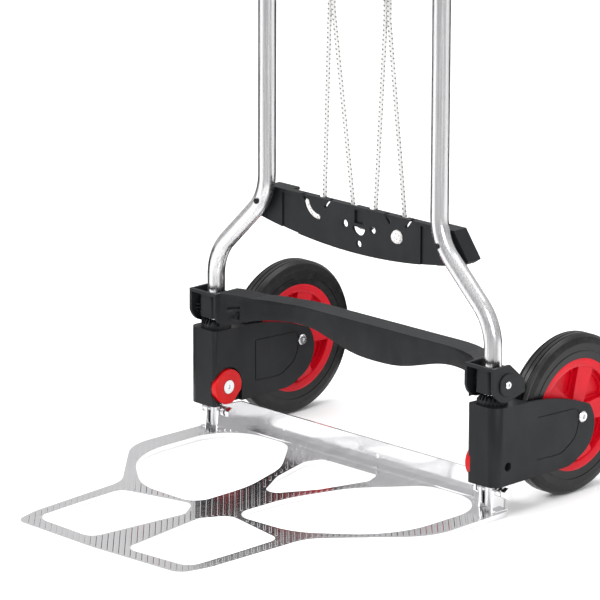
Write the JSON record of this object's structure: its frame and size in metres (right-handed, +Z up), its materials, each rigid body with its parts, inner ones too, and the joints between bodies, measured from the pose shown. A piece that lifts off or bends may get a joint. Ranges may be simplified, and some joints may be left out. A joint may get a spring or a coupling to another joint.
{
  "type": "folding hand truck",
  "caption": "Folding hand truck with a fold-up windowed toe plate, swing-in wheels on fork arms, a geared cross bar, an elastic cord and a telescopic handle.",
  "frame": {"origin": "middle of the whole truck's footprint, on the floor", "axes": "+Z up along the handle, +X along the wheel axles to the right, +Y towards the wheels at the back"},
  "size_m": [0.4762, 0.6002, 1.1],
  "materials": {
    "tube": "brushed anodised",
    "plate": "polished",
    "zinc": "zinc plated",
    "nylon": "fine grained, glass filled",
    "bush_plastic": "smooth",
    "hub_red": "satin",
    "lock_red": "satin",
    "tyre_black": "matt",
    "cord_white": "braided with dark flecks",
    "grip_black": "soft foam"
  },
  "bodies": {
    "frame": {"left_main_tube": "tube", "right_main_tube": "tube", "left_bend_screw": "nylon", "right_bend_screw": "nylon", "left_tube_foot": "tube", "right_tube_foot": "tube", "left_hinge_block": "nylon", "right_hinge_block": "nylon", "left_pivot_cap": "nylon", "right_pivot_cap": "nylon", "left_pivot_screw": "zinc", "right_pivot_screw": "zinc", "left_cord_clip": "nylon", "right_cord_clip": "nylon", "left_tube_collar": "nylon", "right_tube_collar": "nylon", "right_cord_knot": "cord_white", "left_cord_end": "cord_white", "middle_cross_piece": "nylon", "upper_cross_piece": "nylon", "elastic_cord": "cord_white"},
    "toe_plate_body": {"toe_plate": "plate", "rear_flange": "plate", "left_outer_lug": "plate", "right_outer_lug": "plate", "left_hinge_bolt": "zinc", "right_hinge_bolt": "zinc", "left_hinge_nut": "zinc", "right_hinge_nut": "zinc", "left_hinge_spring": "zinc", "right_hinge_spring": "zinc"},
    "left_arm": {"left_fork_housing": "nylon", "left_arm_gear": "nylon", "left_arm_bush": "bush_plastic", "left_axle_bolt": "zinc", "left_axle_nut": "zinc"},
    "right_arm": {"right_fork_housing": "nylon", "right_arm_gear": "nylon", "right_arm_bush": "bush_plastic", "right_axle_bolt": "zinc", "right_axle_nut": "zinc"},
    "left_wheel": {"left_tyre": "tyre_black", "left_hub": "hub_red", "left_wheel_bush": "bush_plastic"},
    "right_wheel": {"right_tyre": "tyre_black", "right_hub": "hub_red", "right_wheel_bush": "bush_plastic"},
    "left_lock": {"left_lock_disc": "lock_red", "left_disc_screw": "zinc"},
    "right_lock": {"right_lock_disc": "lock_red", "right_disc_screw": "zinc"},
    "sync_bar_body": {"sync_bar": "nylon"},
    "handle": {"handle_tube": "tube", "handle_grip": "grip_black", "left_leg_plug": "nylon", "right_leg_plug": "nylon"},
    "button": {"release_button": "lock_red"}
  },
  "joints": [
    {"name": "toe_plate_fold", "type": "hinge", "parent": "frame", "child": "toe_plate_body", "pos_m": [0, 0.09075, 0.028], "axis": [-1, 0, 0], "range_deg": [0, 90]},
    {"name": "left_arm_swing", "type": "hinge", "parent": "frame", "child": "left_arm", "pos_m": [-0.2115, 0.09075, 0.09], "axis": [0, 0, -1], "range_deg": [0, 90]},
    {"name": "right_arm_swing", "type": "hinge", "parent": "frame", "child": "right_arm", "pos_m": [0.2115, 0.09075, 0.09], "axis": [0, 0, 1], "range_deg": [0, 90]},
    {"name": "sync_bar_tilt", "type": "hinge", "parent": "frame", "child": "sync_bar_body", "pos_m": [0, 0.09075, 0.15], "axis": [1, 0, 0], "range_deg": [0, 90]},
    {"name": "left_wheel_spin", "type": "hinge", "parent": "left_arm", "child": "left_wheel", "pos_m": [-0.2145, 0.21025, 0.09], "axis": [1, 0, 0], "continuous": true},
    {"name": "left_lock_turn", "type": "hinge", "parent": "left_arm", "child": "left_lock", "pos_m": [-0.1945, 0.09075, 0.0585], "axis": [1, 0, 0], "range_deg": [0, 90]},
    {"name": "right_wheel_spin", "type": "hinge", "parent": "right_arm", "child": "right_wheel", "pos_m": [0.2145, 0.21025, 0.09], "axis": [1, 0, 0], "continuous": true},
    {"name": "right_lock_turn", "type": "hinge", "parent": "right_arm", "child": "right_lock", "pos_m": [0.1945, 0.09075, 0.0585], "axis": [1, 0, 0], "range_deg": [0, 90]},
    {"name": "handle_slide", "type": "slide", "parent": "frame", "child": "handle", "axis": [0, 0, -1], "range_m": [0, 0.24]},
    {"name": "release_button_press", "type": "slide", "parent": "frame", "child": "button", "axis": [0, 1, 0], "range_m": [0, 0.004], "stiffness_N_per_m": 800, "springref_m": -0.001}
  ],
  "couplings": [
    {"joint": "left_arm_swing", "follows": "toe_plate_fold", "ratio": 1},
    {"joint": "right_arm_swing", "follows": "toe_plate_fold", "ratio": 1},
    {"joint": "sync_bar_tilt", "follows": "toe_plate_fold", "ratio": 1}
  ]
}
